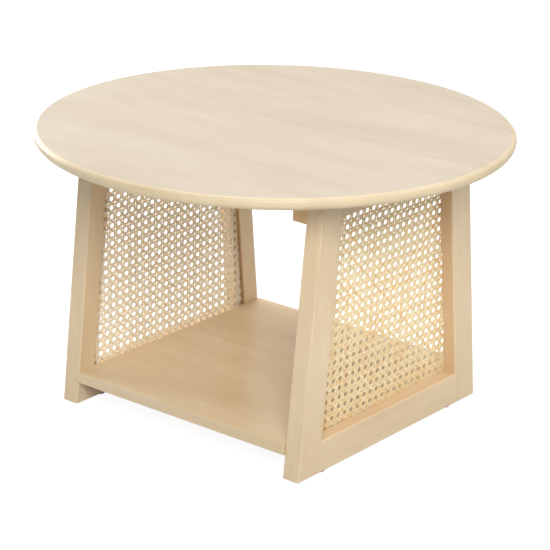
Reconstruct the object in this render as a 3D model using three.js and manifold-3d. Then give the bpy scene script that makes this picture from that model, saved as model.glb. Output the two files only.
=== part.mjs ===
// Round coffee table: a wooden top on two trapezoid side frames filled with woven cane,
// joined by a low shelf. Millimetres, +Z up, the origin on the floor under the middle of the top.
// X runs from one side frame to the other, and Y from the front of the table to its back.
import * as THREE from 'three';
import { mergeVertices } from 'three/addons/utils/BufferGeometryUtils.js';
import Module from 'manifold-3d';

const wasm = await Module();
wasm.setup();

// ---- driving dimensions ------------------------------------------------------------------
const TABLE_HEIGHT = 401;
const TOP_DIAMETER = 650;
const TOP_THICKNESS = 16;
const TOP_UPPER_RADIUS = 6;        // round of the upper arris of the top
const TOP_LOWER_RADIUS = 9;        // wider round of the lower arris

const GLIDE_HEIGHT = 3.5;          // lifts the frames off the floor
const GLIDE_DIAMETER = 18;
const GLIDE_OFFSET_Y = 142;

const FRAME_INNER_X = 184;         // inner face of a side frame
const FRAME_THICKNESS = 26;
const FRAME_BASE_HALF_DEPTH = 200; // half the frame's depth where it meets the glides
const FRAME_TOP_HALF_DEPTH = 158.5; // half the frame's depth under the top
const LEG_WIDTH = 43.5;            // measured level, across the leaning leg
const BOTTOM_RAIL_HEIGHT = 44.5;
const TOP_RAIL_HEIGHT = 39;

const RABBET_WIDTH = 12.8;         // shoulder that the cane is stapled to
const RABBET_DEPTH = 6.5;          // from the inner face of the frame
const CANE_THICKNESS = 1.6;
const CANE_EDGE_MARGIN = 1.2;      // the cane stops just short of the rabbet's wall

const TENON_THICKNESS = 10;
const TENON_LENGTH = 22;
const TENON_SHOULDER = 8;          // above and below the tenon

const SHELF_TOP_Z = 51;
const SHELF_THICKNESS = 16;
const SHELF_HALF_DEPTH = 198;

const CLEAT_WIDTH = 25;
const CLEAT_HEIGHT = 45;
const CLEAT_HALF_LENGTH = 159;

const GAP = 0.3;                   // between pieces that are fitted to one another
const PAST = 1;                    // how far a cutting tool runs past the face that it opens
const ROUND_SIDES = 12;            // facets of a small round piece
const TOP_SIDES = 96;              // facets of the round top
const ARC_STEPS = 3;               // facets of each rounded arris of the top

const FRAME_BASE_Z = GLIDE_HEIGHT;
const FRAME_TOP_Z = TABLE_HEIGHT - TOP_THICKNESS;
const FRAME_OUTER_X = FRAME_INNER_X + FRAME_THICKNESS;
const FRAME_MIDDLE_X = FRAME_INNER_X + FRAME_THICKNESS / 2;
const OPENING_BASE_Z = FRAME_BASE_Z + BOTTOM_RAIL_HEIGHT;
const OPENING_TOP_Z = FRAME_TOP_Z - TOP_RAIL_HEIGHT;
const SHELF_MIDDLE_Z = SHELF_TOP_Z - SHELF_THICKNESS / 2;

const SIDES = [
  { side: 'left', sign: -1 },
  { side: 'right', sign: 1 },
];
const ENDS = [
  { end: 'front', sign: -1 },
  { end: 'back', sign: 1 },
];

// ---- materials ---------------------------------------------------------------------------
const WOODS = {
  top: { color: 0xe4d6c1, roughness: 0.45 },
  frame: { color: 0xdcc5a2, roughness: 0.5 },
  shelf: { color: 0xd6b98f, roughness: 0.5 },
  cleat: { color: 0xc99f6a, roughness: 0.6 },
  dowel: { color: 0xd9bd8c, roughness: 0.7 },
};
const wood = (kind) => new THREE.MeshStandardMaterial({ ...WOODS[kind], metalness: 0 });
const CANE = { color: 0xe8c896, roughness: 0.55, metalness: 0 };
const BLACK_PLASTIC = { color: 0x17130f, roughness: 0.6, metalness: 0 };
const ZINC_STEEL = { color: 0xb9bcc0, roughness: 0.35, metalness: 0.9 };
const cane = () => new THREE.MeshStandardMaterial(CANE);
const blackPlastic = () => new THREE.MeshStandardMaterial(BLACK_PLASTIC);
const zincSteel = () => new THREE.MeshStandardMaterial(ZINC_STEEL);

// ---- solids ------------------------------------------------------------------------------
// A closed geometry becomes a manifold solid once its seams are merged.
function solid(geometry) {
  const bare = geometry.index ? geometry.toNonIndexed() : geometry.clone();
  bare.deleteAttribute('normal');
  bare.deleteAttribute('uv');
  const merged = mergeVertices(bare, 1e-4);
  return new wasm.Manifold(new wasm.Mesh({
    numProp: 3,
    vertProperties: new Float32Array(merged.attributes.position.array),
    triVerts: new Uint32Array(merged.index.array),
  }));
}

function geometryOf(manifold) {
  const mesh = manifold.getMesh();
  const geometry = new THREE.BufferGeometry();
  geometry.setAttribute('position', new THREE.BufferAttribute(new Float32Array(mesh.vertProperties), 3));
  geometry.setIndex(new THREE.BufferAttribute(new Uint32Array(mesh.triVerts), 1));
  geometry.computeVertexNormals();
  return geometry;
}

const cut = (body, ...tools) => tools.reduce((rest, tool) => rest.subtract(tool), body);

// A plate whose outline lies in the YZ plane, from x0 to x1.
function plate(outline, x0, x1) {
  const shape = new THREE.Shape(outline.map(([y, z]) => new THREE.Vector2(y, z)));
  const geometry = new THREE.ExtrudeGeometry(shape, { depth: x1 - x0, bevelEnabled: false });
  // The extrusion's own x, y and z become the table's y, z and x.
  geometry.applyMatrix4(new THREE.Matrix4().set(
    0, 0, 1, x0,
    1, 0, 0, 0,
    0, 1, 0, 0,
    0, 0, 0, 1,
  ));
  return solid(geometry);
}

function block(x0, x1, y0, y1, z0, z1) {
  const geometry = new THREE.BoxGeometry(x1 - x0, y1 - y0, z1 - z0);
  geometry.translate((x0 + x1) / 2, (y0 + y1) / 2, (z0 + z1) / 2);
  return solid(geometry);
}

// A turned piece: the profile gives [radius, distance along the axis] from one end to the other,
// and the axis runs from the point at along the direction.
function turned(profile, at, direction) {
  const geometry = new THREE.LatheGeometry(
    profile.map(([radius, along]) => new THREE.Vector2(radius, along)),
    ROUND_SIDES,
  );
  const turn = new THREE.Quaternion().setFromUnitVectors(
    new THREE.Vector3(0, 1, 0),
    new THREE.Vector3(...direction),
  );
  geometry.applyQuaternion(turn);
  geometry.translate(...at);
  return solid(geometry);
}

const rod = (radius, length, at, direction) => (
  turned([[0, 0], [radius, 0], [radius, length], [0, length]], at, direction)
);

// ---- the trapezoid of a side frame ---------------------------------------------------------
function halfDepthAt(z) {
  const rise = (z - FRAME_BASE_Z) / (FRAME_TOP_Z - FRAME_BASE_Z);
  return FRAME_BASE_HALF_DEPTH + (FRAME_TOP_HALF_DEPTH - FRAME_BASE_HALF_DEPTH) * rise;
}

// The four corners of the frame's outline drawn in by inset on its leaning sides.
function trapezoid(inset, z0, z1) {
  const low = halfDepthAt(z0) - inset;
  const high = halfDepthAt(z1) - inset;
  return [[-low, z0], [low, z0], [high, z1], [-high, z1]];
}

// ---- group -------------------------------------------------------------------------------
const group = new THREE.Group();

function add(name, body, material) {
  const mesh = new THREE.Mesh(geometryOf(body), material);
  mesh.name = name;
  group.add(mesh);
}

// Everything on the left is the mirror image of the right.
const mirrored = (body, sign) => (sign < 0 ? body.mirror([1, 0, 0]) : body);

// ---- fixings -----------------------------------------------------------------------------
// Bolts that hold the top: each rises through a cleat into a threaded insert in the top.
const BOLT = { headRadius: 5.5, headHeight: 4, shankRadius: 3, length: 50 };
const SOCKET = { radius: 2.3, depth: 2.4 };
const WASHER = { radius: 7, bore: 3.4, thickness: 1.5 };
const INSERT = { radius: 4.8, bore: 3.3, length: 11 };
const BOLT_PLACES_Y = [-100, 100];
const BOLT_X = FRAME_INNER_X - CLEAT_WIDTH / 2;
const BOLT_SEAT_Z = FRAME_TOP_Z - CLEAT_HEIGHT;

// Wood screws that hold the cleat to the frame's top rail, driven from inside.
const SCREW = { headRadius: 4.2, headHeight: 3, shankRadius: 2, length: 40, tipLength: 5 };
const SCREW_PLACES_Y = [-60, 0, 60];
const SCREW_Z = FRAME_TOP_Z - TOP_RAIL_HEIGHT / 2;
const SCREW_HEAD_X = FRAME_INNER_X - CLEAT_WIDTH;

// Cam locks, connecting bolts and dowels that hold the shelf between the frames.
// Each cam is open towards the frame, from a little past its own axis, and the bolt's head enters it.
const CAM = { radius: 7.5, height: 12.4, mouthWidth: 7.4, mouthPastAxis: 2 };
const CAM_PLACES_Y = [-120, 120];
const CAM_FROM_END = 34;
const CONNECTOR = { rootRadius: 2.5, rootLength: 16, neckRadius: 2.2, headRadius: 3.2, headLength: 3 };
const NECK_IN_CAM = 2;             // length of the connecting bolt's neck inside the cam
const DOWEL = { radius: 4, inFrame: 16, inShelf: 22 };
const DOWEL_PLACES_Y = [-60, 60];

const SHELF_END_X = FRAME_INNER_X - GAP;
const CAM_X = FRAME_INNER_X - CAM_FROM_END;

const GLIDE_CHAMFER = 1;
const GLIDE_WEB = 0.9;             // plastic left above the nail's head
const GLIDE_NAIL = { headRadius: 3.4, headHeight: 1, shankRadius: 1.4, length: 18, tipLength: 3 };

// ---- top ---------------------------------------------------------------------------------
function topProfile() {
  const points = [[0, FRAME_TOP_Z]];
  const arc = (centreRadius, centreZ, radius, from, to) => {
    for (let i = 0; i <= ARC_STEPS; i += 1) {
      const angle = from + (to - from) * (i / ARC_STEPS);
      points.push([centreRadius + radius * Math.cos(angle), centreZ + radius * Math.sin(angle)]);
    }
  };
  const edge = TOP_DIAMETER / 2;
  arc(edge - TOP_LOWER_RADIUS, FRAME_TOP_Z + TOP_LOWER_RADIUS, TOP_LOWER_RADIUS, -Math.PI / 2, 0);
  arc(edge - TOP_UPPER_RADIUS, TABLE_HEIGHT - TOP_UPPER_RADIUS, TOP_UPPER_RADIUS, 0, Math.PI / 2);
  points.push([0, TABLE_HEIGHT]);
  return points;
}

function makeTop() {
  const disc = new THREE.LatheGeometry(topProfile().map(([r, z]) => new THREE.Vector2(r, z)), TOP_SIDES);
  disc.rotateX(Math.PI / 2);
  const pockets = [];
  for (const { sign } of SIDES) {
    for (const y of BOLT_PLACES_Y) {
      const at = [sign * BOLT_X, y, FRAME_TOP_Z - PAST];
      pockets.push(rod(INSERT.radius + GAP, INSERT.length + GAP + PAST, at, [0, 0, 1]));
    }
  }
  add('tabletop', cut(solid(disc), ...pockets), wood('top'));
}

// ---- side frames -------------------------------------------------------------------------
const rabbet = () => plate(
  trapezoid(LEG_WIDTH - RABBET_WIDTH, OPENING_BASE_Z - RABBET_WIDTH, OPENING_TOP_Z + RABBET_WIDTH),
  FRAME_INNER_X - PAST,
  FRAME_INNER_X + RABBET_DEPTH,
);

// The tenons of both rails, grown by the given clearance on every side.
function tenon(z0, z1, clearance) {
  const low = z0 + TENON_SHOULDER;
  const high = z1 - TENON_SHOULDER;
  const reach = halfDepthAt((z0 + z1) / 2) - LEG_WIDTH + TENON_LENGTH;
  return block(
    FRAME_MIDDLE_X - TENON_THICKNESS / 2 - clearance,
    FRAME_MIDDLE_X + TENON_THICKNESS / 2 + clearance,
    -reach - clearance,
    reach + clearance,
    low - clearance,
    high + clearance,
  );
}

const RAILS = [
  { name: 'bottom_rail', z0: FRAME_BASE_Z, z1: OPENING_BASE_Z },
  { name: 'top_rail', z0: OPENING_TOP_Z, z1: FRAME_TOP_Z - GAP },
];

function makeLeg(side, end) {
  const outline = trapezoid(0, FRAME_BASE_Z, FRAME_TOP_Z - GAP);
  const opening = trapezoid(LEG_WIDTH, FRAME_BASE_Z - PAST, FRAME_TOP_Z + PAST);
  const both = cut(
    plate(outline, FRAME_INNER_X, FRAME_OUTER_X),
    plate(opening, FRAME_INNER_X - PAST, FRAME_OUTER_X + PAST),
    rabbet(),
    ...RAILS.map((rail) => tenon(rail.z0, rail.z1, GAP)),
  );
  const half = block(
    FRAME_INNER_X - PAST,
    FRAME_OUTER_X + PAST,
    end.sign < 0 ? -TOP_DIAMETER / 2 : 0,
    end.sign < 0 ? 0 : TOP_DIAMETER / 2,
    0,
    TABLE_HEIGHT,
  );
  add(`${side.side}_${end.end}_leg`, mirrored(both.intersect(half), side.sign), wood('frame'));
}

// The bores for the shelf's bolts and dowels, through the cane's hidden lower margin into the rail.
function shelfFixingBores() {
  const bore = (radius, depth, y) => (
    rod(radius + GAP, depth + GAP + PAST, [FRAME_INNER_X - PAST, y, SHELF_MIDDLE_Z], [1, 0, 0])
  );
  return [
    ...CAM_PLACES_Y.map((y) => bore(CONNECTOR.rootRadius, CONNECTOR.rootLength, y)),
    ...DOWEL_PLACES_Y.map((y) => bore(DOWEL.radius, DOWEL.inFrame, y)),
  ];
}

function bottomRailPockets() {
  const pockets = shelfFixingBores();
  for (const { sign } of ENDS) {
    const at = [FRAME_MIDDLE_X, sign * GLIDE_OFFSET_Y, FRAME_BASE_Z - PAST];
    pockets.push(rod(GLIDE_NAIL.shankRadius + GAP, GLIDE_NAIL.length, at, [0, 0, 1]));
  }
  return pockets;
}

function topRailPockets() {
  const depth = SCREW.length - CLEAT_WIDTH + GAP;
  return SCREW_PLACES_Y.map((y) => (
    rod(SCREW.shankRadius + GAP, depth + PAST, [FRAME_INNER_X - PAST, y, SCREW_Z], [1, 0, 0])
  ));
}

function makeRail(side, rail) {
  const body = plate(trapezoid(LEG_WIDTH + GAP, rail.z0, rail.z1), FRAME_INNER_X, FRAME_OUTER_X);
  const pockets = rail.name === 'bottom_rail' ? bottomRailPockets() : topRailPockets();
  const whole = cut(body.add(tenon(rail.z0, rail.z1, 0)), rabbet(), ...pockets);
  add(`${side.side}_${rail.name}`, mirrored(whole, side.sign), wood('frame'));
}

// The cane lies on the rabbet's shoulder, a little below the frame's inner face.
function makeCane(side) {
  const inset = LEG_WIDTH - RABBET_WIDTH + CANE_EDGE_MARGIN;
  const outline = trapezoid(
    inset,
    OPENING_BASE_Z - RABBET_WIDTH + CANE_EDGE_MARGIN,
    OPENING_TOP_Z + RABBET_WIDTH - CANE_EDGE_MARGIN,
  );
  const outer = FRAME_INNER_X + RABBET_DEPTH - GAP;
  const sheet = cut(plate(outline, outer - CANE_THICKNESS, outer), ...shelfFixingBores());
  add(`${side.side}_cane_panel`, mirrored(sheet, side.sign), cane());
}

// ---- cleats, bolts and screws under the top -------------------------------------------------
function makeCleat(side) {
  const body = block(
    FRAME_INNER_X - CLEAT_WIDTH,
    FRAME_INNER_X - GAP,
    -CLEAT_HALF_LENGTH,
    CLEAT_HALF_LENGTH,
    BOLT_SEAT_Z,
    FRAME_TOP_Z - GAP,
  );
  const holes = BOLT_PLACES_Y.map((y) => (
    rod(BOLT.shankRadius + GAP, CLEAT_HEIGHT + 2 * PAST, [BOLT_X, y, BOLT_SEAT_Z - PAST], [0, 0, 1])
  ));
  for (const y of SCREW_PLACES_Y) {
    const at = [SCREW_HEAD_X - PAST, y, SCREW_Z];
    holes.push(rod(SCREW.shankRadius + GAP, CLEAT_WIDTH + 2 * PAST, at, [1, 0, 0]));
    holes.push(rod(SCREW.headRadius + GAP, SCREW.headHeight + GAP + PAST, at, [1, 0, 0]));
  }
  add(`${side.side}_cleat`, mirrored(cut(body, ...holes), side.sign), wood('cleat'));
}

function makeTopBolts(side) {
  for (const y of BOLT_PLACES_Y) {
    const place = y < 0 ? 'front' : 'back';
    const washerZ = BOLT_SEAT_Z - GAP - WASHER.thickness;
    const headZ = washerZ - GAP - BOLT.headHeight;
    const shaft = turned(
      [
        [0, 0],
        [BOLT.headRadius, 0],
        [BOLT.headRadius, BOLT.headHeight],
        [BOLT.shankRadius, BOLT.headHeight],
        [BOLT.shankRadius, BOLT.headHeight + BOLT.length],
        [0, BOLT.headHeight + BOLT.length],
      ],
      [BOLT_X, y, headZ],
      [0, 0, 1],
    );
    const socket = rod(SOCKET.radius, SOCKET.depth + PAST, [BOLT_X, y, headZ - PAST], [0, 0, 1]);
    add(`${side.side}_${place}_top_bolt`, mirrored(cut(shaft, socket), side.sign), zincSteel());

    const washer = cut(
      rod(WASHER.radius, WASHER.thickness, [BOLT_X, y, washerZ], [0, 0, 1]),
      rod(WASHER.bore, WASHER.thickness + 2 * PAST, [BOLT_X, y, washerZ - PAST], [0, 0, 1]),
    );
    add(`${side.side}_${place}_bolt_washer`, mirrored(washer, side.sign), zincSteel());

    const insert = cut(
      rod(INSERT.radius, INSERT.length - GAP, [BOLT_X, y, FRAME_TOP_Z], [0, 0, 1]),
      rod(INSERT.bore, INSERT.length + 2 * PAST, [BOLT_X, y, FRAME_TOP_Z - PAST], [0, 0, 1]),
    );
    add(`${side.side}_${place}_threaded_insert`, mirrored(insert, side.sign), zincSteel());
  }
}

function makeCleatScrews(side) {
  SCREW_PLACES_Y.forEach((y, index) => {
    const screw = turned(
      [
        [0, 0],
        [SCREW.headRadius, 0],
        [SCREW.shankRadius, SCREW.headHeight],
        [SCREW.shankRadius, SCREW.length - SCREW.tipLength],
        [0, SCREW.length],
      ],
      [SCREW_HEAD_X, y, SCREW_Z],
      [1, 0, 0],
    );
    add(`${side.side}_cleat_screw_${index + 1}`, mirrored(screw, side.sign), zincSteel());
  });
}

// ---- shelf and its fixings -------------------------------------------------------------------
function makeShelf() {
  const board = block(
    -SHELF_END_X,
    SHELF_END_X,
    -SHELF_HALF_DEPTH,
    SHELF_HALF_DEPTH,
    SHELF_TOP_Z - SHELF_THICKNESS,
    SHELF_TOP_Z,
  );
  const holes = [];
  for (const { sign } of SIDES) {
    const endHole = (radius, depth, y) => (
      rod(radius + GAP, depth + PAST, [sign * (FRAME_INNER_X + PAST), y, SHELF_MIDDLE_Z], [-sign, 0, 0])
    );
    for (const y of CAM_PLACES_Y) {
      const camAt = [sign * CAM_X, y, SHELF_TOP_Z - SHELF_THICKNESS - PAST];
      holes.push(rod(CAM.radius + GAP, CAM.height + GAP + PAST, camAt, [0, 0, 1]));
      holes.push(endHole(CONNECTOR.headRadius, CAM_FROM_END, y));
    }
    holes.push(...DOWEL_PLACES_Y.map((y) => endHole(DOWEL.radius, DOWEL.inShelf + GAP, y)));
  }
  add('shelf', cut(board, ...holes), wood('shelf'));
}

function makeShelfFixings(side) {
  for (const y of CAM_PLACES_Y) {
    const place = y < 0 ? 'front' : 'back';
    const neckEnd = CONNECTOR.rootLength + CAM_FROM_END - CAM.radius + NECK_IN_CAM;
    const headEnd = neckEnd + CONNECTOR.headLength;
    const connector = turned(
      [
        [0, 0],
        [CONNECTOR.rootRadius, 0],
        [CONNECTOR.rootRadius, CONNECTOR.rootLength],
        [CONNECTOR.neckRadius, CONNECTOR.rootLength],
        [CONNECTOR.neckRadius, neckEnd],
        [CONNECTOR.headRadius, neckEnd],
        [CONNECTOR.headRadius, headEnd],
        [0, headEnd],
      ],
      [FRAME_INNER_X + CONNECTOR.rootLength, y, SHELF_MIDDLE_Z],
      [-1, 0, 0],
    );
    add(`${side.side}_${place}_cam_bolt`, mirrored(connector, side.sign), zincSteel());

    const camBase = SHELF_TOP_Z - SHELF_THICKNESS;
    const mouth = block(
      CAM_X - CAM.mouthPastAxis,
      CAM_X + CAM.radius + PAST,
      y - CAM.mouthWidth / 2,
      y + CAM.mouthWidth / 2,
      SHELF_MIDDLE_Z - CAM.mouthWidth / 2,
      camBase + CAM.height + PAST,
    );
    const cam = cut(rod(CAM.radius, CAM.height, [CAM_X, y, camBase], [0, 0, 1]), mouth);
    add(`${side.side}_${place}_cam_lock`, mirrored(cam, side.sign), zincSteel());
  }
  for (const y of DOWEL_PLACES_Y) {
    const place = y < 0 ? 'front' : 'back';
    const start = [FRAME_INNER_X + DOWEL.inFrame, y, SHELF_MIDDLE_Z];
    const dowel = rod(DOWEL.radius, DOWEL.inFrame + DOWEL.inShelf, start, [-1, 0, 0]);
    add(`${side.side}_${place}_shelf_dowel`, mirrored(dowel, side.sign), wood('dowel'));
  }
}

// ---- glides ----------------------------------------------------------------------------------
function makeGlide(side, end) {
  const y = end.sign * GLIDE_OFFSET_Y;
  const glideTop = GLIDE_HEIGHT - GAP;
  const seatTop = glideTop - GLIDE_WEB;
  const disc = turned(
    [
      [0, 0],
      [GLIDE_DIAMETER / 2 - GLIDE_CHAMFER, 0],
      [GLIDE_DIAMETER / 2, GLIDE_CHAMFER],
      [GLIDE_DIAMETER / 2, glideTop],
      [0, glideTop],
    ],
    [FRAME_MIDDLE_X, y, 0],
    [0, 0, 1],
  );
  const bore = rod(GLIDE_NAIL.shankRadius + GAP, GLIDE_HEIGHT, [FRAME_MIDDLE_X, y, 0], [0, 0, 1]);
  const seat = rod(GLIDE_NAIL.headRadius + GAP, seatTop + PAST, [FRAME_MIDDLE_X, y, -PAST], [0, 0, 1]);
  add(`${side.side}_${end.end}_glide`, mirrored(cut(disc, bore, seat), side.sign), blackPlastic());

  const nail = turned(
    [
      [0, 0],
      [GLIDE_NAIL.headRadius, 0],
      [GLIDE_NAIL.headRadius, GLIDE_NAIL.headHeight],
      [GLIDE_NAIL.shankRadius, GLIDE_NAIL.headHeight],
      [GLIDE_NAIL.shankRadius, GLIDE_NAIL.length - GLIDE_NAIL.tipLength],
      [0, GLIDE_NAIL.length],
    ],
    [FRAME_MIDDLE_X, y, seatTop - GAP - GLIDE_NAIL.headHeight],
    [0, 0, 1],
  );
  add(`${side.side}_${end.end}_glide_nail`, mirrored(nail, side.sign), zincSteel());
}

// ---- assembly --------------------------------------------------------------------------------
makeTop();
for (const side of SIDES) {
  for (const end of ENDS) makeLeg(side, end);
  for (const rail of RAILS) makeRail(side, rail);
  makeCane(side);
  makeCleat(side);
  makeTopBolts(side);
  makeCleatScrews(side);
  makeShelfFixings(side);
  for (const end of ENDS) makeGlide(side, end);
}
makeShelf();

export default group;
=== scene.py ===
import math
import random

import bmesh
import bpy
import numpy as np
from mathutils import Matrix, Vector


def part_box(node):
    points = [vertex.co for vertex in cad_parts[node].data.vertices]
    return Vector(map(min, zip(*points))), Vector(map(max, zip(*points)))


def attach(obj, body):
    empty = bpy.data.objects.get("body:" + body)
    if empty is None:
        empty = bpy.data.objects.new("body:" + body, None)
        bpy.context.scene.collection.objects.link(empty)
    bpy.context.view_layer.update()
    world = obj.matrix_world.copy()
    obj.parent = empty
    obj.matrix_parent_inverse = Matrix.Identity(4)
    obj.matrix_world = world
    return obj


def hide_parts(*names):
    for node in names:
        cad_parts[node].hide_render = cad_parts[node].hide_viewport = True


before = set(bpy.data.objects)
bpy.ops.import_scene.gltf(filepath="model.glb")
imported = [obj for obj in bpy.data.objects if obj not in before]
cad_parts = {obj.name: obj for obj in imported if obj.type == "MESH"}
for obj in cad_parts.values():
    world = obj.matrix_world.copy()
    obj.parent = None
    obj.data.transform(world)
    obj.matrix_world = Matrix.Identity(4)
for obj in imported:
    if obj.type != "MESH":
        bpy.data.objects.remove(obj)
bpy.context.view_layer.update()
MM = 0.001
SLIVER = 0.01 * MM                 # points nearer than this are joined
STRAIGHT = 0.99                    # a face looks a way when the cosine between them is at least this
UP = Vector((0, 0, 1))
SIDES = {"left": -1, "right": 1}
ENDS = {"front": -1, "back": 1}

# ---- measures of the side frames --------------------------------------------------------------
# The boxes of the CAD nodes don't give these three, so they are the same as in the CAD model.
LEG_WIDTH = 43.5 * MM              # level, across the leaning leg
CANE_MARGIN = 1.2 * MM             # from the cane's edge to the wall of its rabbet
CANE_TO_SHOULDER = 0.3 * MM

leg_low, leg_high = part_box("right_front_leg")
INNER_X, OUTER_X = leg_low.x, leg_high.x
BASE_Z, HEAD_Z = leg_low.z, leg_high.z
BASE_HALF_DEPTH = -leg_low.y
HEAD_HALF_DEPTH = LEG_WIDTH - leg_high.y
LEAN = (BASE_HALF_DEPTH - HEAD_HALF_DEPTH) / (HEAD_Z - BASE_Z)

OPENING_LOW_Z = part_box("right_bottom_rail")[1].z
OPENING_HIGH_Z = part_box("right_top_rail")[0].z
cane_low, cane_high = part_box("right_cane_panel")
SHOULDER_X = cane_high.x + CANE_TO_SHOULDER


def half_depth(z):
    """Half the depth of a side frame at a height."""
    return BASE_HALF_DEPTH - LEAN * (z - BASE_Z)


CANE_INSET = half_depth(cane_low.z) - cane_high.y
RABBET_INSET = CANE_INSET - CANE_MARGIN


def trapezoid(inset, low_z, high_z):
    """The (y, z) corners of the frame's outline, drawn in by inset on its leaning sides."""
    low = half_depth(low_z) - inset
    high = half_depth(high_z) - inset
    return [(-low, low_z), (low, low_z), (high, high_z), (-high, high_z)]


# ---- objects ----------------------------------------------------------------------------------
def new_object(name, data):
    made = bpy.data.objects.new(name, data)
    bpy.context.scene.collection.objects.link(made)
    return made


def mesh_from(body):
    """The mesh of a bmesh, which is used up."""
    bmesh.ops.recalc_face_normals(body, faces=body.faces)
    mesh = bpy.data.meshes.new("mesh")
    body.to_mesh(mesh)
    body.free()
    return mesh


def with_modifiers(mesh, *modifiers):
    """The mesh after modifiers, each given as its type and settings."""
    worker = new_object("worker", mesh)
    for kind, settings in modifiers:
        modifier = worker.modifiers.new(kind.lower(), kind)
        for key, value in settings.items():
            setattr(modifier, key, value)
    graph = bpy.context.evaluated_depsgraph_get()
    result = bpy.data.meshes.new_from_object(worker.evaluated_get(graph))
    bpy.data.objects.remove(worker)
    return result


def rounded(mesh, width, segments=4):
    """The mesh with its weighted edges rounded: a weight of 1 gives the full width."""
    return with_modifiers(mesh, ("BEVEL", {
        "limit_method": "WEIGHT", "width": width, "segments": segments, "use_clamp_overlap": True,
    }))


def cleaned(body):
    """The mesh of a bmesh without the slivers that rounding and cutting leave. Uses up the bmesh."""
    bmesh.ops.remove_doubles(body, verts=body.verts, dist=SLIVER)
    return mesh_from(body)


def carved(mesh, cutters):
    """The mesh with every cutter's shape taken out of it."""
    for cutter in cutters:
        tool = new_object("cutter", cutter)
        mesh = with_modifiers(mesh, ("BOOLEAN", {
            "operation": "DIFFERENCE", "object": tool, "solver": "EXACT",
        }))
        bpy.data.objects.remove(tool)
    body = bmesh.new()
    body.from_mesh(mesh)
    return cleaned(body)


def block(low, high, edge_weight=None):
    """A box. edge_weight(middle of an edge, its direction) gives that edge's share of the rounding."""
    body = bmesh.new()
    size = Vector(high) - Vector(low)
    place = Matrix.Translation((Vector(high) + Vector(low)) / 2) @ Matrix.Diagonal(size).to_4x4()
    bmesh.ops.create_cube(body, size=1, matrix=place)
    if edge_weight:
        weights = body.edges.layers.float.new("bevel_weight_edge")
        for edge in body.edges:
            start, end = (vertex.co for vertex in edge.verts)
            edge[weights] = edge_weight((start + end) / 2, (end - start).normalized())
    return mesh_from(body)


def turned(profile, at, direction, sides=48):
    """A turned solid: the profile gives (radius, distance along the axis), on the axis at both ends or
    closed on itself."""
    body = bmesh.new()
    on_axis = profile[0][0] == 0
    rows = []
    for radius, along in profile:
        if radius == 0:
            rows.append([body.verts.new((0, 0, along))])
            continue
        angles = [math.tau * k / sides for k in range(sides)]
        rows.append([body.verts.new((radius * math.cos(a), radius * math.sin(a), along)) for a in angles])
    pairs = list(zip(rows, rows[1:]))
    if not on_axis:
        pairs.append((rows[-1], rows[0]))
    for lower, upper in pairs:
        for k in range(sides):
            corners = [
                lower[k % len(lower)],
                lower[(k + 1) % len(lower)],
                upper[(k + 1) % len(upper)],
                upper[k % len(upper)],
            ]
            # A row on the axis is a single point, which a face takes once.
            body.faces.new(list(dict.fromkeys(corners)))
    turn = UP.rotation_difference(Vector(direction)).to_matrix().to_4x4()
    bmesh.ops.transform(body, matrix=Matrix.Translation(at) @ turn, verts=body.verts)
    return mesh_from(body)


def arc(centre, radius, start, end, steps):
    """Points (r, z) on an arc from one angle to another, in degrees."""
    angles = [math.radians(start + (end - start) * k / steps) for k in range(steps + 1)]
    return [(centre[0] + radius * math.cos(a), centre[1] + radius * math.sin(a)) for a in angles]


def set_grain(mesh, origin, along, across):
    """Stores each point's place in its own piece of timber: across, through and along the grain."""
    along = Vector(along).normalized()
    through = along.cross(Vector(across)).normalized()
    axes = np.array([through.cross(along), through, along])
    points = np.zeros(len(mesh.vertices) * 3, np.float32)
    mesh.vertices.foreach_get("co", points)
    local = (points.reshape(-1, 3) - np.array(origin)) @ axes.T
    grain = mesh.attributes.new("grain", "FLOAT_VECTOR", "POINT")
    grain.data.foreach_set("vector", local.astype(np.float32).ravel())


def place_piece(name, mesh, nodes, material, smooth_angle=40):
    """Puts a finished mesh in the scene, standing for the named CAD nodes."""
    mesh.materials.clear()
    mesh.materials.append(material)
    mesh.shade_smooth()
    mesh.set_sharp_from_angle(angle=math.radians(smooth_angle))
    piece = new_object(name, mesh)
    normals = piece.modifiers.new("weighted_normal", "WEIGHTED_NORMAL")
    normals.keep_sharp = True
    normals.weight = 100
    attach(piece, "root")
    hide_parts(*nodes)
    return piece


# ---- materials --------------------------------------------------------------------------------
def linear(red, green, blue):
    """A colour given as 0 to 255 screen values, as a shader takes it: with the sRGB curve undone."""
    def channel(value):
        share = value / 255
        return share / 12.92 if share <= 0.04045 else ((share + 0.055) / 1.055) ** 2.4
    return (channel(red), channel(green), channel(blue), 1)


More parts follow.
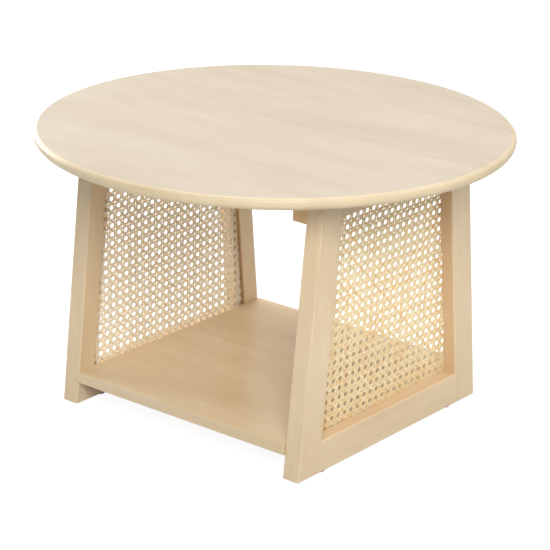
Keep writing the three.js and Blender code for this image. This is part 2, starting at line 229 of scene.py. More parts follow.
class Shader:
    """One node material. Most methods add nodes and return the last one's output."""

    def __init__(self, name, **constants):
        self.material = bpy.data.materials.new(name)
        self.material.use_nodes = True
        self.tree = self.material.node_tree
        self.surface = self.tree.nodes["Principled BSDF"]
        for key, value in constants.items():
            self.surface.inputs[key.replace("_", " ")].default_value = value

    def node(self, kind, inputs, output=0, **options):
        made = self.tree.nodes.new("ShaderNode" + kind)
        for key, value in options.items():
            setattr(made, key, value)
        for key, value in inputs.items():
            if isinstance(value, bpy.types.NodeSocket):
                self.tree.links.new(value, made.inputs[key])
            else:
                made.inputs[key].default_value = value
        return made.outputs[output]

    def set(self, name, output):
        self.tree.links.new(output, self.surface.inputs[name])

    def math(self, operation, first, second=0.0):
        return self.node("Math", {0: first, 1: second}, operation=operation)

    def scaled(self, vector, scale):
        return self.node("VectorMath", {0: vector, 1: scale}, operation="MULTIPLY")

    def swing(self, value, reach):
        """A value from 0 to 1, made to swing by half of reach to either side of 0."""
        return self.math("MULTIPLY", self.math("SUBTRACT", value, 0.5), reach)

    def noise(self, vector, scale=1.0, detail=3.0, roughness=0.55):
        return self.node("TexNoise", {
            "Vector": vector, "Scale": scale, "Detail": detail, "Roughness": roughness,
        })

    def ranged(self, value, low, high, to_low=0.0, to_high=1.0):
        return self.node("MapRange", {
            "Value": value, "From Min": low, "From Max": high, "To Min": to_low, "To Max": to_high,
        })

    def mix(self, factor, first, second, blend="MIX"):
        # The sockets of a mix of colours share their names with other kinds, so they go by number.
        return self.node(
            "Mix", {0: factor, 6: first, 7: second}, output=2, data_type="RGBA", blend_type=blend,
        )

    def ramp(self, value, stops):
        output = self.node("ValToRGB", {"Fac": value})
        elements = output.node.color_ramp.elements
        while len(elements) < len(stops):
            elements.new(0.5)
        for element, (position, colour) in zip(elements, stops):
            element.position = position
            element.color = colour
        return output

    def set_roughness(self, noise, smooth, rough):
        """Makes the roughness follow a noise, whose values mostly lie between 0.3 and 0.7."""
        self.set("Roughness", self.ranged(noise, 0.3, 0.7, smooth, rough))

    def bump(self, height, distance):
        self.set("Normal", self.node("Bump", {"Height": height, "Distance": distance}))

    def attribute(self, name, output):
        return self.node("Attribute", {}, output=output, attribute_name=name)

    def object_place(self):
        return self.node("TexCoord", {}, output="Object")


# How fine each layer of a timber's figure is across, through and along the grain, for each metre.
CLOUDS = (16, 16, 5)
STREAKS = (210, 210, 6)
FLECKS = (1300, 1300, 50)
RINGS_STRETCH = (1, 1, 0.09)       # draws the growth rings out along the grain
# How far each layer swings the tone, where 1 runs from the pale colour to the dark one.
CLOUD_SWING, STREAK_SWING, RING_SWING, BOARD_SWING = 1.3, 0.45, 0.12, 0.1
BOARD_SHIFT = (0.05, 0.25, 1.3)    # a board's figure is moved by up to so many metres in each direction
PORE_TINT = linear(245, 238, 226)


def wood(name, pale, middle, dark, board_width=0.0, roughness=0.48, figure=1.0):
    """Pale limewashed timber. Boards glued side by side each get a tone and a figure of their own, unless
    no width is given for them. The last value is how strongly the figure shows."""
    shader = Shader(name, Specular_IOR_Level=0.5)
    grain = shader.attribute("grain", "Vector")
    board_tone = 0.5
    if board_width:
        across = shader.node("SeparateXYZ", {0: grain}, output="X")
        board = shader.math("FLOOR", shader.math("DIVIDE", across, board_width))
        pick = shader.node("TexWhiteNoise", {"W": board}, output="Color", noise_dimensions="1D")
        board_tone = shader.node("SeparateXYZ", {0: pick}, output="X")
        shift = shader.scaled(pick, BOARD_SHIFT)
        grain = shader.node("VectorMath", {0: grain, 1: shift}, operation="ADD")

    cloud = shader.noise(shader.scaled(grain, CLOUDS), detail=3)
    streak = shader.noise(shader.scaled(grain, STREAKS), detail=4, roughness=0.6)
    fleck = shader.noise(shader.scaled(grain, FLECKS), detail=2)
    rings = shader.node("TexWave", {
        "Vector": shader.scaled(grain, RINGS_STRETCH),
        "Scale": 34, "Distortion": 5.5, "Detail": 2.5, "Detail Scale": 9, "Detail Roughness": 0.5,
    }, output="Fac", wave_type="RINGS", rings_direction="Z", wave_profile="SAW")

    figured = shader.swing(rings, RING_SWING * figure)
    streaked = shader.swing(streak, STREAK_SWING * figure)
    clouded = shader.swing(cloud, CLOUD_SWING)
    toned = shader.swing(board_tone, BOARD_SWING)
    total = shader.math("ADD", shader.math("ADD", figured, streaked), shader.math("ADD", clouded, toned))
    tone = shader.math("ADD", total, 0.5)
    colour = shader.ramp(tone, [(0.0, pale), (0.5, middle), (1.0, dark)])
    pores = shader.ranged(fleck, low=0.62, high=0.8, to_high=0.5 * figure)
    deepened = shader.mix(1.0, colour, PORE_TINT, blend="MULTIPLY")
    shader.set("Base Color", shader.mix(pores, colour, deepened))
    shader.set_roughness(streak, smooth=roughness - 0.05 * figure, rough=roughness + 0.07 * figure)
    shader.bump(shader.math("SUBTRACT", shader.math("MULTIPLY", streak, 0.6), pores), 0.04 * MM * figure)
    return shader.material


def cane_skin():
    """Rattan split into strands, golden on the bark side and paler on the pith side. The strand attribute
    holds each point's place across its strand from -1 to 1, its place along it in metres, and the strand's
    own tone. The pith attribute is 1 on the strand's back."""
    # Thin strips of bark let some light through, which the scattering under the surface stands for.
    shader = Shader(
        "natural_cane", Specular_IOR_Level=0.5,
        Subsurface_Weight=0.8, Subsurface_Radius=(0.9, 0.95, 1.0), Subsurface_Scale=1.2 * MM,
    )
    strand = shader.attribute("strand", "Vector")
    across, _, tone = shader.node("SeparateXYZ", {0: strand}).node.outputs
    # The tone is a part of the place in each noise too, so that no two strands have the same marks.
    fibre = shader.noise(shader.scaled(strand, (3.2, 30, 90)), detail=4, roughness=0.6)
    patch = shader.noise(shader.scaled(strand, (0.2, 22, 60)), detail=2)
    streaks = shader.swing(fibre, 0.8)
    patches = shader.swing(patch, 1.1)
    own = shader.swing(tone, 0.7)
    depth = shader.math("ADD", shader.math("ADD", streaks, patches), shader.math("ADD", own, 0.5))
    colour = shader.ramp(depth, [
        (0.0, linear(255, 236, 198)), (0.5, linear(251, 222, 173)), (1.0, linear(240, 197, 137)),
    ])
    edge = shader.ranged(shader.math("ABSOLUTE", across), low=0.62, high=1.0, to_high=0.5)
    bark = shader.mix(edge, colour, linear(232, 186, 128))
    pale = shader.math("MULTIPLY", shader.attribute("pith", "Fac"), 0.8)
    shader.set("Base Color", shader.mix(pale, bark, linear(255, 238, 218)))
    shader.set_roughness(fibre, smooth=0.34, rough=0.5)
    shader.bump(fibre, 0.08 * MM)
    return shader.material


def plastic(name, colour):
    shader = Shader(name, Specular_IOR_Level=0.25)
    place = shader.object_place()
    pebbles = shader.noise(place, scale=1400, detail=2)
    scuffs = shader.noise(place, scale=180, detail=3)
    worn = shader.ranged(scuffs, low=0.35, high=0.75, to_high=0.2)
    shader.set("Base Color", shader.mix(worn, colour, linear(62, 58, 54)))
    shader.set_roughness(scuffs, smooth=0.45, rough=0.62)
    shader.bump(pebbles, 0.05 * MM)
    return shader.material


def steel(name):
    shader = Shader(name, Metallic=1.0)
    place = shader.object_place()
    plating = shader.noise(place, scale=240, detail=3)
    scratches = shader.noise(shader.scaled(place, (2600, 300, 1500)), detail=2)
    shader.set("Base Color", shader.ramp(plating, [
        (0.3, linear(205, 207, 210)), (0.7, linear(176, 178, 180)),
    ]))
    shader.set_roughness(scratches, smooth=0.24, rough=0.42)
    shader.bump(scratches, 0.01 * MM)
    return shader.material


TOP_WOOD = wood(
    "top_wood", linear(198, 185, 167), linear(190, 176, 156), linear(180, 164, 140), board_width=82 * MM,
    roughness=0.62, figure=0.4,
)
# Painted light: the rim is the top's own wood, coloured brighter and yellower to stand in for the stronger
# light the rim catches.
LIT_RIM_WOOD = wood(
    "lit_rim_wood", linear(220, 203, 171), linear(213, 194, 159), linear(202, 182, 142), board_width=82 * MM,
    figure=0.4,
)
FRAME_WOOD = wood("frame_wood", linear(230, 209, 175), linear(221, 198, 162), linear(210, 184, 145))
# Painted shade: a darker, warmer copy of the frame's wood for the faces round the opening, which stand in
# shade.
SHADED_REVEAL_WOOD = wood("shaded_reveal_wood", linear(223, 196, 160), linear(214, 185, 147), linear(203, 171, 130))
SHELF_WOOD = wood(
    "shelf_wood", linear(230, 208, 174), linear(221, 197, 159), linear(209, 182, 142), board_width=96 * MM,
    roughness=0.24, figure=0.15,
)
CLEAT_WOOD = wood("cleat_wood", linear(238, 206, 158), linear(230, 192, 140), linear(216, 172, 118))
DOWEL_WOOD = wood("dowel_wood", linear(228, 205, 160), linear(216, 189, 142), linear(196, 164, 116))
CANE = cane_skin()
BLACK_PLASTIC = plastic("glide_plastic", linear(24, 20, 17))
STEEL = steel("zinc_plated_steel")

# ---- the round top ----------------------------------------------------------------------------
TOP_UPPER_RADIUS = 6 * MM
TOP_LOWER_RADIUS = 9 * MM
TOP_ARC_STEPS = 12                 # facets of each rounded arris
TOP_SIDES = 288
TOP_PITH = (0.31, 0.02, 0.16)      # a point of the pith that the growth rings go round


def make_top():
    low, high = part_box("tabletop")
    edge = high.x
    profile = [(0, low.z)]
    for radius, height, start in (
        (TOP_LOWER_RADIUS, low.z + TOP_LOWER_RADIUS, -90),
        (TOP_UPPER_RADIUS, high.z - TOP_UPPER_RADIUS, 0),
    ):
        profile += arc((edge - radius, height), radius, start, start + 90, TOP_ARC_STEPS)
    profile.append((0, high.z))
    mesh = turned(profile, (0, 0, 0), UP, sides=TOP_SIDES)
    set_grain(mesh, TOP_PITH, (1, 0, 0), (0, 1, 0))
    board = place_piece("tabletop_board", mesh, ["tabletop"], TOP_WOOD)
    board.data.materials.append(LIT_RIM_WOOD)
    # The faces that aren't level, those of the rim, get the brighter copy: painted light on the rim.
    for face in board.data.polygons:
        face.material_index = int(abs(face.normal.z) < STRAIGHT)


# ---- side frames ------------------------------------------------------------------------------
ARRIS = 2.2 * MM                   # round of the frame's outer arrises
CORNER_SHARE = 0.8                 # of ARRIS, at the four corners of the frame's outline
# Each ring of corners runs round the frame; the share is how much of ARRIS its corners are rounded by.
RINGS = [
    (trapezoid(0, BASE_Z, HEAD_Z), INNER_X, 0.85),
    (trapezoid(0, BASE_Z, HEAD_Z), OUTER_X, 0.85),
    (trapezoid(LEG_WIDTH, OPENING_LOW_Z, OPENING_HIGH_Z), OUTER_X, 0.9),
    (trapezoid(LEG_WIDTH, OPENING_LOW_Z, OPENING_HIGH_Z), SHOULDER_X, 0.12),
    (trapezoid(RABBET_INSET, cane_low.z - CANE_MARGIN, cane_high.z + CANE_MARGIN), SHOULDER_X, 0.0),
    (trapezoid(RABBET_INSET, cane_low.z - CANE_MARGIN, cane_high.z + CANE_MARGIN), INNER_X, 0.2),
]


def frame_mesh(sign):
    """A whole side frame in one piece, with its opening and rabbet and its arrises rounded."""
    body = bmesh.new()
    weights = body.edges.layers.float.new("bevel_weight_edge")
    rings = [[body.verts.new((sign * x, y, z)) for y, z in corners] for corners, x, _ in RINGS]
    for ring, following in zip(rings, rings[1:] + rings[:1]):
        for k in range(4):
            after = (k + 1) % 4
            body.faces.new((ring[k], ring[after], following[after], following[k]))
    for ring, (_, _, share) in zip(rings, RINGS):
        for k in range(4):
            body.edges.get((ring[k], ring[(k + 1) % 4]))[weights] = share
    for k in range(4):
        body.edges.get((rings[0][k], rings[1][k]))[weights] = CORNER_SHARE
    return rounded(mesh_from(body), ARRIS, segments=5)


def kept_part(mesh, planes):
    """The part of a mesh behind every (point, normal) plane, closed where it was cut."""
    body = bmesh.new()
    body.from_mesh(mesh)
    for point, normal in planes:
        everything = body.verts[:] + body.edges[:] + body.faces[:]
        bmesh.ops.bisect_plane(body, geom=everything, plane_co=point, plane_no=normal, clear_outer=True)
        rims = [edge for edge in body.edges if edge.is_boundary]
        bmesh.ops.holes_fill(body, edges=rims, sides=0)
    return cleaned(body)


def place_frame_part(name, mesh, facing):
    """Puts a leg or a rail in the scene. Its face towards the opening has a darker, warmer tone: painted
    shade for the recess of the opening.
    """
    part = place_piece(f"{name}_wood", mesh, [name], FRAME_WOOD)
    part.data.materials.append(SHADED_REVEAL_WOOD)
    # Faces towards the opening get the painted-shade copy.
    for face in part.data.polygons:
        face.material_index = int(face.normal.dot(facing) > STRAIGHT)


# Where the pith lies that a piece's growth rings go round: how many metres past the frame's outer face,
# along the frame, and up or down.
LEG_PITH = (0.06, 0.235, 0.37)
RAIL_PITH = (0.075, 0.4, 0.28)


def make_frame(side, sign):
    whole = frame_mesh(sign)
    # The joints between legs and rails lie on planes that lean with the legs.
    joint = {end: Vector((0, way * (BASE_HALF_DEPTH - LEG_WIDTH), BASE_Z)) for end, way in ENDS.items()}
    inward = {end: Vector((0, -way, -LEAN)).normalized() for end, way in ENDS.items()}
    past, along, up = LEG_PITH
    for end, way in ENDS.items():
        mesh = kept_part(whole, [(joint[end], inward[end])])
        pith = (sign * (OUTER_X + past), way * along, sign * way * up)
        set_grain(mesh, pith, (0, -way * LEAN, 1), (0, 1, 0))
        place_frame_part(f"{side}_{end}_leg", mesh, inward[end])
    middle_z = (BASE_Z + HEAD_Z) / 2
    between_legs = [(joint[end], -inward[end]) for end in ENDS]
    past, along, up = RAIL_PITH
    for rail, facing in (("bottom_rail", UP), ("top_rail", -UP)):
        mesh = kept_part(whole, between_legs + [(Vector((0, 0, middle_z)), facing)])
        pith = (sign * (OUTER_X + past), along * facing.z, middle_z - up * facing.z)
        set_grain(mesh, pith, (0, 1, 0), (0, 0, 1))
        place_frame_part(f"{side}_{rail}", mesh, facing)


# ---- cane webbing -----------------------------------------------------------------------------
MESH_Y, MESH_Z = 13.85 * MM, 13.04 * MM  # one mesh of the webbing, along the frame and up it
PAIR_OFFSET = 2.3 * MM                   # each strand of a pair from the pair's middle
STRAIGHT_WIDTH = 2.6 * MM
DIAGONAL_WIDTH = 3.0 * MM
STRAND_THICKNESS = 0.7 * MM
PAIR_WAVE = 0.35 * MM                    # how far a strand of a pair rises over the ones it crosses
DIAGONAL_WAVE = 0.78 * MM
STEPS_PER_MESH = 8
DIAGONAL_STEPS = 12                      # from one corner of a mesh to the opposite one
WEAVE_X = cane_high.x - 1.0 * MM         # middle plane of the weave
END_GAP = 1.6 * MM                       # a strand stops at most so far inside the cane's outline
SHORTEST_STRAND = 6 * MM
WIDTH_SPREAD = 0.07                      # strands are up to so much wider or narrower than the rest
# How far a strand wanders aside, and over what length it goes on by one radian.
WANDERS = ((0.16 * MM, 9 * MM), (0.12 * MM, 4.3 * MM))
# More columns, rows and diagonals than a panel holds. Those that miss it are left out.
COLUMNS = range(-15, 16)
ROWS = range(-3, 26)
DIAGONALS = range(-40, 41)
# Where the webbing happens to lie on each side: the middle of one hole, how far the upright strands lean
# for each metre up, and how far the level ones climb for each metre along.
LAID = {
    "left": ((-6.6 * MM, 63.5 * MM), -0.017, 0.0105),
    "right": ((6.22 * MM, 57.6 * MM), 0.032, -0.012),
}
# A strand's section: shares of its width and thickness, rounded on the bark side and flat behind.
BACK = -0.5
SECTION = [(-0.5, -0.1), (-0.3, 0.42), (0.3, 0.42), (0.5, -0.1), (0.36, BACK), (-0.36, BACK)]


def clipped(start, direction):
    """Where a straight line in the panel's plane enters and leaves the cane's outline."""
    enter, leave = -math.inf, math.inf
    lean_length = math.hypot(1, LEAN)
    side_reach = (half_depth(0) - CANE_INSET) / lean_length
    walls = [
        ((0, -1), -cane_low.z),
        ((0, 1), cane_high.z),
        ((1 / lean_length, LEAN / lean_length), side_reach),
        ((-1 / lean_length, LEAN / lean_length), side_reach),
    ]
    for (ny, nz), reach in walls:
        speed = ny * direction[0] + nz * direction[1]
        room = reach - ny * start[0] - nz * start[1]
        if speed == 0:
            if room < 0:
                return None
        elif speed > 0:
            leave = min(leave, room / speed)
        else:
            enter = max(enter, room / speed)
    return (enter, leave) if leave - enter > SHORTEST_STRAND else None


class Grid:
    """The webbing's own grid on one panel: a pair of strands runs along each whole column and row."""

    def __init__(self, hole, lean, climb):
        self.axes = np.array([(MESH_Y, climb * MESH_Y), (lean * MESH_Z, MESH_Z)])
        self.origin = np.array(hole) - self.axes.sum(axis=0) / 2

    def point(self, column, row):
        """The (y, z) of a place in the grid."""
        return self.origin + np.array((column, row)) @ self.axes

    def place(self, points):
        """The columns and rows of (y, z) points."""
        return ((points - self.origin) @ np.linalg.inv(self.axes)).T


def pair_height(place, offset):
    """How a strand of a pair rises and falls past the pairs it crosses, from -1 to 1. The place and the
    offset of a strand from its pair's middle are shares of a mesh."""
    near = (place + 0.5) % 1 - 0.5
    inside = np.sin(math.pi * near / (2 * offset))
    outside = np.sign(near) * np.cos(math.pi * (np.abs(near) - offset) / (1 - 2 * offset))
    return np.where(np.abs(near) <= offset, inside, outside)


def diagonal_height(column):
    """How a diagonal strand goes under one pair and over the next, from -1 to 1, a little flattened."""
    wave = np.cos(math.tau * column)
    return wave * (1.5 - 0.5 * wave * wave)


class Weave:
    """Strands of one direction in one panel, gathered into a single mesh."""

    def __init__(self, side, name, grid, chance):
        self.side = side
        self.name = name
        self.grid = grid
        self.chance = chance
        self.points, self.marks, self.backs, self.faces = [], [], [], []
        self.count = 0

    def strand(self, start, way, samples, width, height):
        """Lays one strand through a place in the grid. Each step of way takes so many samples, and
        height(column, row) gives the strand's rise off the middle plane."""
        start = self.grid.point(*start)
        heading = np.array(way) @ self.grid.axes
        step = np.linalg.norm(heading) / samples
        heading = heading / np.linalg.norm(heading)
        span = clipped(start, heading)
        if span is None:
            return
        chance = self.chance
        enter = span[0] + chance.uniform(0, END_GAP)
        leave = span[1] - chance.uniform(0, END_GAP)
        # The samples keep to the grid, so that the rises and falls look the same all over the panel.
        inner = np.arange(math.ceil(enter / step), math.floor(leave / step) + 1) * step
        room = 0.2 * step          # a sample nearer than this to an end is left out
        inner = inner[(inner > enter + room) & (inner < leave - room)]
        along = np.concatenate([[enter], inner, [leave]])
        drift = np.zeros(len(along))
        for reach, length in WANDERS:
            drift += reach * np.sin(along / length + chance.uniform(0, math.tau))
        line = start + along[:, None] * heading
        rise = height(*self.grid.place(line))
        aside = np.array([-heading[1], heading[0]])
        middle = line + drift[:, None] * aside
        width = width * chance.uniform(1 - WIDTH_SPREAD, 1 + WIDTH_SPREAD)
        self.sweep(middle, aside * width, rise, along, chance.random())

    def sweep(self, middle, breadth, rise, along, tone):
        """Adds a closed ribbon with the strand's section, which follows its (y, z) middle and its rise."""
        sign = SIDES[self.side]
        corners, samples = len(SECTION), len(along)
        for across, through in SECTION:
            flat = middle + breadth * across
            out = WEAVE_X + rise + through * STRAND_THICKNESS
            self.points.append(np.column_stack([sign * out, flat]))
            self.marks.append(np.column_stack([np.full(samples, 2 * across), along, np.full(samples, tone)]))
            self.backs.append(np.full(samples, float(through == BACK)))
        base = self.count
        for k in range(corners):
            here = base + k * samples + np.arange(samples)
            there = base + (k + 1) % corners * samples + np.arange(samples)
            quads = np.column_stack([here[:-1], here[1:], there[1:], there[:-1]])
            self.faces.extend(quads.tolist())
        for end in (0, samples - 1):
            self.faces.append([base + k * samples + end for k in range(corners)])
        self.count += corners * samples

    def finish(self):
        """Puts the gathered strands in the scene as one piece."""
        mesh = bpy.data.meshes.new("cane")
        mesh.from_pydata(np.concatenate(self.points).tolist(), [], self.faces)
        marks = mesh.attributes.new("strand", "FLOAT_VECTOR", "POINT")
        marks.data.foreach_set("vector", np.concatenate(self.marks).astype(np.float32).ravel())
        pith = mesh.attributes.new("pith", "FLOAT", "POINT")
        pith.data.foreach_set("value", np.concatenate(self.backs).astype(np.float32))
        body = bmesh.new()
        body.from_mesh(mesh)
        bmesh.ops.recalc_face_normals(body, faces=body.faces)
        body.to_mesh(mesh)
        body.free()
        panel = f"{self.side}_cane_panel"
        place_piece(f"{self.side}_cane_{self.name}", mesh, [panel], CANE, smooth_angle=75)


def make_cane(side):
    grid = Grid(*LAID[side])
    chance = random.Random(f"{side} cane")
    across, up = PAIR_OFFSET / MESH_Y, PAIR_OFFSET / MESH_Z

    uprights = Weave(side, "uprights", grid, chance)
    for column in COLUMNS:
        for way in (-1, 1):
            uprights.strand(
                (column + way * across, 0), (0, 1), STEPS_PER_MESH, STRAIGHT_WIDTH,
                lambda column, row, way=way: -way * PAIR_WAVE * pair_height(row, up),
            )
    uprights.finish()

    levels = Weave(side, "levels", grid, chance)
    for row in ROWS:
        for way in (-1, 1):
            levels.strand(
                (0, row + way * up), (1, 0), STEPS_PER_MESH, STRAIGHT_WIDTH,
                lambda column, row, way=way: way * PAIR_WAVE * pair_height(column, across),
            )
    levels.finish()

    for name, slope in (("rising_strands", 1), ("falling_strands", -1)):
        diagonals = Weave(side, name, grid, chance)
        for column in DIAGONALS:
            diagonals.strand(
                (column + 0.5, 0), (1, slope), DIAGONAL_STEPS, DIAGONAL_WIDTH,
                lambda column, row, slope=slope: -slope * DIAGONAL_WAVE * diagonal_height(column),
            )
        diagonals.finish()


# ---- shelf and cleats -------------------------------------------------------------------------
CLEARANCE = 0.3 * MM               # left round a fixing in its pocket or seat
PAST = 1 * MM                      # how far a cutting tool runs past the face that it opens
SHELF_ARRIS = 1.6 * MM
CLEAT_ARRIS = 1.2 * MM
SHELF_PITH = (0.4, 0.03, -0.11)
CLEAT_PITH = (0.13, 0.1, 0.31)
SCREW_NUMBERS = (1, 2, 3)


def middle(node):
    low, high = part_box(node)
    return (low + high) / 2


def make_shelf():
    low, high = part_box("shelf")
    board = rounded(block(low, high, lambda at, way: abs(way.x)), SHELF_ARRIS)
    pockets = []
    for side in SIDES:
        for end in ENDS:
            cam = f"{side}_{end}_cam_lock"
            cam_low, cam_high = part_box(cam)
            centre = middle(cam)
            radius = (cam_high.y - cam_low.y) / 2 + CLEARANCE
            depth = cam_high.z - low.z + CLEARANCE
            profile = [(0, -PAST), (radius, -PAST), (radius, 0), (radius, depth), (0, depth)]
            pockets.append(turned(profile, (centre.x, centre.y, low.z), UP))
    mesh = carved(board, pockets)
    set_grain(mesh, SHELF_PITH, (1, 0, 0), (0, 1, 0))
    place_piece("shelf_board", mesh, ["shelf"], SHELF_WOOD)


def make_cleat(side, sign):
    name = f"{side}_cleat"
    low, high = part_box(name)
    near_x, far_x = sorted((abs(low.x), abs(high.x)))
    # The edges that lie against the side frame stay sharp.
    batten = rounded(block(low, high, lambda at, way: float(abs(at.x) < far_x - SLIVER)), CLEAT_ARRIS)
    seats = []
    for number in SCREW_NUMBERS:
        screw = f"{side}_cleat_screw_{number}"
        screw_low, screw_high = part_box(screw)
        centre = middle(screw)
        radius = (screw_high.y - screw_low.y) / 2 + CLEARANCE
        rim, taper, floor = 0.4 * MM, 2 * MM, PAST + 3.5 * MM
        profile = [(0, 0), (radius + PAST, 0), (radius + rim, PAST), (radius - taper, floor), (0, floor)]
        seats.append(turned(profile, (sign * (near_x - PAST), centre.y, centre.z), (sign, 0, 0)))
    mesh = carved(batten, seats)
    past, along, up = CLEAT_PITH
    set_grain(mesh, (sign * past, along, up), (0, 1, 0), (0, 0, 1))
    place_piece(f"{name}_batten", mesh, [name], CLEAT_WOOD)


# ---- fixings ----------------------------------------------------------------------------------
NAIL_HEAD_HEIGHT = 1 * MM


def upright(node):
    """The radius, the height and the foot of a round node that stands upright."""
    low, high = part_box(node)
    centre = middle(node)
    return high.x - centre.x, high.z - low.z, (centre.x, centre.y, low.z)


def cross_recess(centre, direction, width, length, depth):
    """Two crossed blades that cut the recess of a cross-head screw, sunk along the direction."""
    direction = Vector(direction)
    turn = UP.rotation_difference(direction).to_matrix().to_4x4()
    blades = []
    for across, along in ((width, length), (length, width)):
        blade = block((-across / 2, -along / 2, -PAST), (across / 2, along / 2, depth))
        blade.transform(Matrix.Translation(centre) @ turn)
        blades.append(blade)
    return blades


def make_bolt(side, end):
    name = f"{side}_{end}_top_bolt"
    head, length, foot = upright(name)
    shank, head_height = 3 * MM, 4 * MM
    chamfer, edge = 0.6 * MM, 0.3 * MM
    profile = [
        (0, 0), (head - chamfer, 0), (head, chamfer), (head, head_height - edge),
        (head - edge, head_height), (shank, head_height), (shank, length - chamfer),
        (shank - chamfer, length), (0, length),
    ]
    body = turned(profile, foot, UP)
    key, key_depth, drill_depth = 2.3 * MM, 2.4 * MM, 3 * MM
    socket_profile = [(0, -PAST), (key, -PAST), (key, key_depth), (0, drill_depth)]
    socket = turned(socket_profile, foot, UP, sides=6)
    place_piece(f"{name}_steel", carved(body, [socket]), [name], STEEL)


def make_washer(side, end):
    name = f"{side}_{end}_bolt_washer"
    radius, thickness, foot = upright(name)
    bore, edge = 3.4 * MM, 0.25 * MM
    profile = [
        (bore, 0), (radius - edge, 0), (radius, edge), (radius, thickness - edge),
        (radius - edge, thickness), (bore, thickness),
    ]
    ring = turned(profile, foot, UP)
    place_piece(f"{name}_steel", ring, [name], STEEL)


def make_cam(side, end):
    name = f"{side}_{end}_cam_lock"
    low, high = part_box(name)
    centre = middle(name)
    radius, height, edge = (high.y - low.y) / 2, high.z - low.z, 0.5 * MM
    # The box of the open cam is off centre along X, as its mouth faces the frame.
    inner_x = low.x if side == "right" else high.x
    foot = (inner_x + SIDES[side] * radius, centre.y, low.z)
    profile = [(0, 0), (radius - edge, 0), (radius, edge), (radius, height), (0, height)]
    body = turned(profile, foot, UP)
    recess = cross_recess(foot, UP, width=1.6 * MM, length=8 * MM, depth=2.2 * MM)
    place_piece(f"{name}_steel", carved(body, recess), [name], STEEL)


def make_screw(side, sign, number):
    name = f"{side}_cleat_screw_{number}"
    low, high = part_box(name)
    centre = middle(name)
    radius, length = (high.y - low.y) / 2, high.x - low.x
    head_height, shank, point = 3 * MM, 2 * MM, 5 * MM
    edge, rim = 0.2 * MM, 0.4 * MM
    profile = [
        (0, 0), (radius - edge, 0), (radius, rim), (shank, head_height),
        (shank, length - point), (0, length),
    ]
    start = (low.x if sign > 0 else high.x, centre.y, centre.z)
    body = turned(profile, start, (sign, 0, 0))
    recess = cross_recess(start, (sign, 0, 0), width=1.0 * MM, length=4.4 * MM, depth=1.8 * MM)
    place_piece(f"{name}_steel", carved(body, recess), [name], STEEL)


def make_glide(side, end):
    name = f"{side}_{end}_glide"
    radius, height, foot = upright(name)
    nail_radius, _, nail_foot = upright(f"{name}_nail")
    bore, seat = 1.7 * MM, nail_radius + CLEARANCE
    seat_top = nail_foot[2] - foot[2] + NAIL_HEAD_HEIGHT + CLEARANCE
    round_radius, chamfer = 0.4 * MM, 0.3 * MM
    mouth_width, mouth_depth = 0.4 * MM, 0.5 * MM
    profile = [(seat + mouth_width, 0)]
    profile += arc((radius - round_radius, round_radius), round_radius, -90, 0, 5)
    profile += [(radius, height - chamfer), (radius - chamfer, height), (bore, height)]
    profile += [(bore, seat_top), (seat, seat_top), (seat, mouth_depth)]
    disc = turned(profile, foot, UP)
    place_piece(f"{name}_disc", disc, [name], BLACK_PLASTIC)


def make_glide_nail(side, end):
    name = f"{side}_{end}_glide_nail"
    head, length, foot = upright(name)
    shank, point = 1.4 * MM, 3 * MM
    # The head is a low dome.
    profile = [(0, 0), (head - 1.2 * MM, 0.05 * MM), (head - 0.25 * MM, 0.3 * MM), (head, 0.6 * MM)]
    profile += [(head, NAIL_HEAD_HEIGHT), (shank, NAIL_HEAD_HEIGHT), (shank, length - point), (0, length)]
    nail = turned(profile, foot, UP)
    place_piece(f"{name}_steel", nail, [name], STEEL)


HIDDEN_FIXINGS = {"threaded_insert": STEEL, "cam_bolt": STEEL, "shelf_dowel": DOWEL_WOOD}


def finish_hidden_fixings():
    """The fixings that stay as CAD made them get their materials."""
    for name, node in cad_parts.items():
        for kind, material in HIDDEN_FIXINGS.items():
            if name.endswith(kind):
                node.data.materials.clear()
                node.data.materials.append(material)


# ---- stage, light and camera ------------------------------------------------------------------
FLOOR_SIZE = 60
FLOOR_GREY, FLOOR_GLOW = 0.2, 0.92
BOUNCE_GREY = 0.62                 # of the floor that throws light back up at the table
BOUNCE_HEIGHT = -1 * MM
SKY_GLOW = 0.7


def glowing_plane(name, height, grey, glow):
    """A wide level plane that shows its own glow on top of the light that falls on it."""
    body = bmesh.new()
    bmesh.ops.create_grid(body, x_segments=1, y_segments=1, size=FLOOR_SIZE / 2)
    plane = new_object(name, mesh_from(body))
    plane.location.z = height
    shader = Shader(name, Roughness=0.9, Specular_IOR_Level=0.0)
    shader.surface.inputs["Base Color"].default_value = (grey, grey, grey, 1)
    shader.surface.inputs["Emission Color"].default_value = (1, 1, 1, 1)
    shader.surface.inputs["Emission Strength"].default_value = glow
    plane.data.materials.append(shader.material)
    return plane


def make_floor():
    """The floor is seen as almost pure white, and lights the table as a dimmer one would."""
    seen = glowing_plane("floor", 0.0, FLOOR_GREY, FLOOR_GLOW)
    seen.visible_diffuse = False
    seen.visible_shadow = False
    bounce = glowing_plane("floor_bounce", BOUNCE_HEIGHT, BOUNCE_GREY, 0.0)
    bounce.visible_camera = False
    bounce.visible_glossy = False


def towards(azimuth, elevation):
    """The direction from the table to a light or a camera, for angles in radians."""
    return Vector((
        math.sin(azimuth) * math.cos(elevation),
        -math.cos(azimuth) * math.cos(elevation),
        math.sin(elevation),
    ))


LIGHT_DISTANCE = 3.0
LIGHT_AIM_HEIGHT = 0.2
LIGHT_SIZE = 1.4
# Azimuth and elevation in degrees, and watts. Azimuth 0 is in front of the table and 90 on its right.
LIGHTS = {
    "key": (40, 35, 69),
    "right": (80, 35, 8),
    "right_back": (130, 35, 26),
    "back": (200, 35, 5),
    "high_back": (220, 65, 48),
    "low_left_back": (250, 12, 52),
    "low_left": (270, 12, 32),
    "left": (285, 22, 18),
}


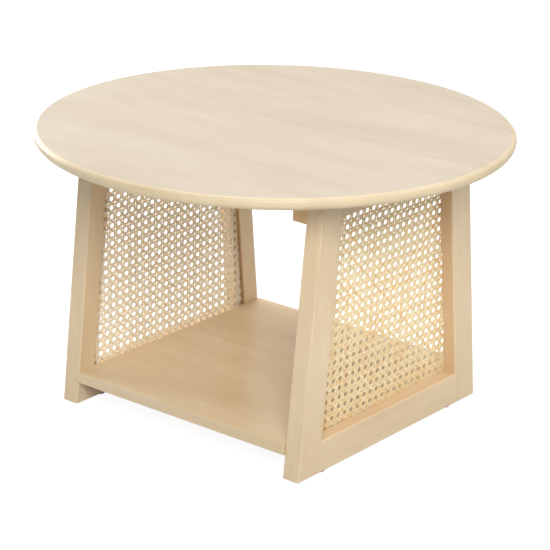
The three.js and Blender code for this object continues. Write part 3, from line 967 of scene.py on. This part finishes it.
def make_light(name, azimuth, elevation, power):
    """A large round soft light that looks at the table."""
    back = towards(math.radians(azimuth), math.radians(elevation))
    data = bpy.data.lights.new(name, "AREA")
    data.shape = "DISK"
    data.size = LIGHT_SIZE
    data.energy = power
    light = new_object(name, data)
    light.location = UP * LIGHT_AIM_HEIGHT + back * LIGHT_DISTANCE
    light.rotation_euler = back.to_track_quat("Z", "Y").to_euler()


def light_scene():
    """White all round, which is seen and reflected, and the lights, which do the lighting."""
    world = bpy.data.worlds.new("soft_white")
    bpy.context.scene.world = world
    world.use_nodes = True
    background = world.node_tree.nodes["Background"]
    background.inputs["Color"].default_value = (1, 1, 1, 1)
    background.inputs["Strength"].default_value = SKY_GLOW
    world.cycles_visibility.diffuse = False
    bpy.context.scene.view_settings.view_transform = "Standard"
    for name, settings in LIGHTS.items():
        make_light(name, *settings)


CAMERA_AZIMUTH, CAMERA_ELEVATION, CAMERA_ROLL = (math.radians(a) for a in (38.751, 19.96, 1.092))
CAMERA_DISTANCE = 3.1022
CAMERA_LENS = 147.17               # on a 36 mm sensor
CAMERA_AIM_HEIGHT = 0.2
CAMERA_AIM_SHIFT = (3.79 * MM, -13.6 * MM)   # rightwards and upwards in the view


def make_camera():
    data = bpy.data.cameras.new("camera")
    data.lens = CAMERA_LENS
    camera = new_object("camera", data)
    right = Vector((math.cos(CAMERA_AZIMUTH), math.sin(CAMERA_AZIMUTH), 0))
    back = towards(CAMERA_AZIMUTH, CAMERA_ELEVATION)
    up = back.cross(right)
    aim = UP * CAMERA_AIM_HEIGHT + right * CAMERA_AIM_SHIFT[0] + up * CAMERA_AIM_SHIFT[1]
    axes = Matrix((right, up, back)).transposed() @ Matrix.Rotation(CAMERA_ROLL, 3, "Z")
    camera.matrix_world = Matrix.Translation(aim + back * CAMERA_DISTANCE) @ axes.to_4x4()
    bpy.context.scene.camera = camera


# ---- assembly ---------------------------------------------------------------------------------
make_camera()
make_floor()
light_scene()
make_top()
make_shelf()
for side, sign in SIDES.items():
    make_frame(side, sign)
    make_cane(side)
    make_cleat(side, sign)
    for end in ENDS:
        make_bolt(side, end)
        make_washer(side, end)
        make_cam(side, end)
        make_glide(side, end)
        make_glide_nail(side, end)
    for number in SCREW_NUMBERS:
        make_screw(side, sign, number)
finish_hidden_fixings()
